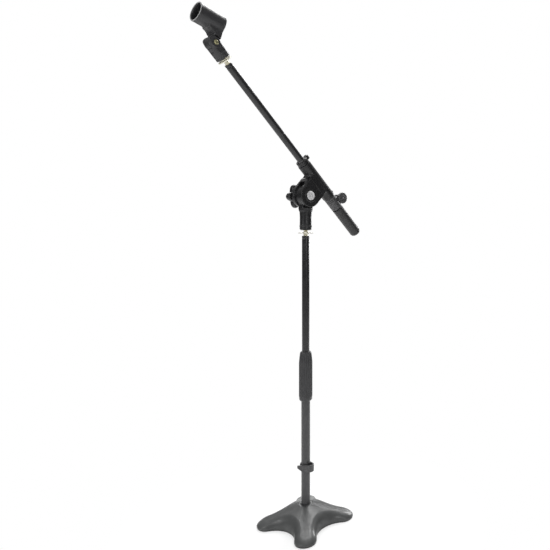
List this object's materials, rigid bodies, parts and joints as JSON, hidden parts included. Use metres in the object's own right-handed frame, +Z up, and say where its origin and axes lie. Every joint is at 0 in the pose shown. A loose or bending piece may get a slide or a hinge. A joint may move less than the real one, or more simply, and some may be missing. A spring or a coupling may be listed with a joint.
{
  "type": "boom microphone stand",
  "caption": "Boom microphone stand with a cast star base, a telescoping pole with a twist clutch, a tilting and sliding boom, and a barrel microphone clip.",
  "frame": {"origin": "on the pole axis, on the floor under the base mat", "axes": "+Z up along the pole; the boom swings in the XZ plane with its microphone end towards -X; -Y is the side with the round badge, +Y the side with the star knob"},
  "size_m": [0.4206, 0.1688, 1.0618],
  "materials": {
    "base_coat": "grey powder coat on a casting",
    "rubber": "black rubber",
    "zinc": "bright zinc-plated steel",
    "grey_coat": "mid-grey textured powder coat",
    "yellow_zinc": "pale yellow brass and yellow-zinc plate",
    "collar_plastic": "grey-black moulded plastic",
    "black_plastic": "satin black moulded plastic",
    "white_plastic": "natural white plastic",
    "grip_plastic": "dark grey ribbed plastic",
    "black_coat": "satin black paint",
    "badge_chrome": "plain silver badge",
    "tail_rubber": "dark grey moulded rubber with a fine mottled surface",
    "clip_plastic": "dark grey matte plastic",
    "dull_brass": "dull, dark brass"
  },
  "bodies": {
    "base": {"base_casting": "base_coat", "base_mat": "rubber", "base_washer": "zinc", "base_bolt": "zinc", "lower_tube": "grey_coat", "lower_tube_plug": "yellow_zinc", "clutch_hub": "black_plastic"},
    "pole_cable_clip": {"pole_cable_clip": "collar_plastic"},
    "clutch_grip": {"clutch_grip": "grip_plastic"},
    "clutch_collet": {"clutch_collet": "white_plastic"},
    "upper_pole": {"upper_tube": "black_coat", "upper_tube_guide": "white_plastic", "pole_stud": "yellow_zinc", "swivel_socket": "black_plastic", "socket_insert": "yellow_zinc", "friction_washers": "black_plastic"},
    "pole_locknut": {"pole_locknut": "yellow_zinc"},
    "boom_holder": {"boom_holder": "black_plastic", "pivot_bolt": "zinc", "pivot_badge": "badge_chrome", "boom_collar": "collar_plastic", "collar_screw": "zinc", "collar_nut": "zinc"},
    "pivot_knob": {"pivot_knob": "black_plastic", "pivot_knob_nut": "yellow_zinc"},
    "collar_knob": {"collar_knob": "black_plastic"},
    "boom_cable_clip": {"boom_cable_clip": "black_plastic"},
    "boom_bush": {"boom_bush": "black_plastic"},
    "boom": {"boom_tube": "black_coat", "tail_core": "zinc", "tail_sleeve": "tail_rubber", "boom_stud": "yellow_zinc", "clip_base": "clip_plastic", "clip_insert": "yellow_zinc", "clip_screw": "dull_brass", "clip_nut": "zinc"},
    "boom_locknut": {"boom_locknut": "yellow_zinc"},
    "clip": {"clip_barrel": "clip_plastic"}
  },
  "joints": [
    {"name": "pole_cable_clip_slide", "type": "slide", "parent": "base", "child": "pole_cable_clip", "axis": [0, 0, 1], "range_m": [-0.06, 0.12]},
    {"name": "clutch_twist", "type": "hinge", "parent": "base", "child": "clutch_grip", "pos_m": [0, 0, 0.322], "axis": [0, 0, 1], "range_deg": [0, 120]},
    {"name": "pole_turn", "type": "hinge", "parent": "base", "child": "clutch_collet", "pos_m": [0, 0, 0.351], "axis": [0, 0, 1], "continuous": true},
    {"name": "pole_height", "type": "slide", "parent": "clutch_collet", "child": "upper_pole", "axis": [0, 0, 1], "range_m": [-0.24, 0.03]},
    {"name": "pole_locknut_turn", "type": "hinge", "parent": "upper_pole", "child": "pole_locknut", "pos_m": [0, 0, 0.636], "axis": [0, 0, 1], "continuous": true},
    {"name": "boom_tilt", "type": "hinge", "parent": "upper_pole", "child": "boom_holder", "pos_m": [0, 0, 0.719], "axis": [0, 1, 0], "range_deg": [-105, 40]},
    {"name": "pivot_knob_turn", "type": "hinge", "parent": "boom_holder", "child": "pivot_knob", "pos_m": [0, 0.03, 0.719], "axis": [0, 1, 0], "range_deg": [-360, 360]},
    {"name": "collar_knob_turn", "type": "hinge", "parent": "boom_holder", "child": "collar_knob", "pos_m": [0.09417, -0.015, 0.718], "axis": [0, -1, 0], "range_deg": [-360, 360]},
    {"name": "boom_cable_clip_turn", "type": "hinge", "parent": "boom_holder", "child": "boom_cable_clip", "pos_m": [0.03208, 0, 0.7528], "axis": [-0.7254, 0, 0.6884], "range_deg": [-90, 90]},
    {"name": "boom_roll", "type": "hinge", "parent": "boom_holder", "child": "boom_bush", "pos_m": [0.03208, 0, 0.7528], "axis": [-0.7254, 0, 0.6884], "continuous": true},
    {"name": "boom_extend", "type": "slide", "parent": "boom_bush", "child": "boom", "axis": [-0.7254, 0, 0.6884], "range_m": [-0.19, 0]},
    {"name": "boom_locknut_turn", "type": "hinge", "parent": "boom", "child": "boom_locknut", "pos_m": [-0.19496, 0, 0.96826], "axis": [-0.7254, 0, 0.6884], "continuous": true},
    {"name": "clip_tilt", "type": "hinge", "parent": "boom", "child": "clip", "pos_m": [-0.2213, 0, 0.99325], "axis": [0, 1, 0], "range_deg": [-90, 5]}
  ]
}
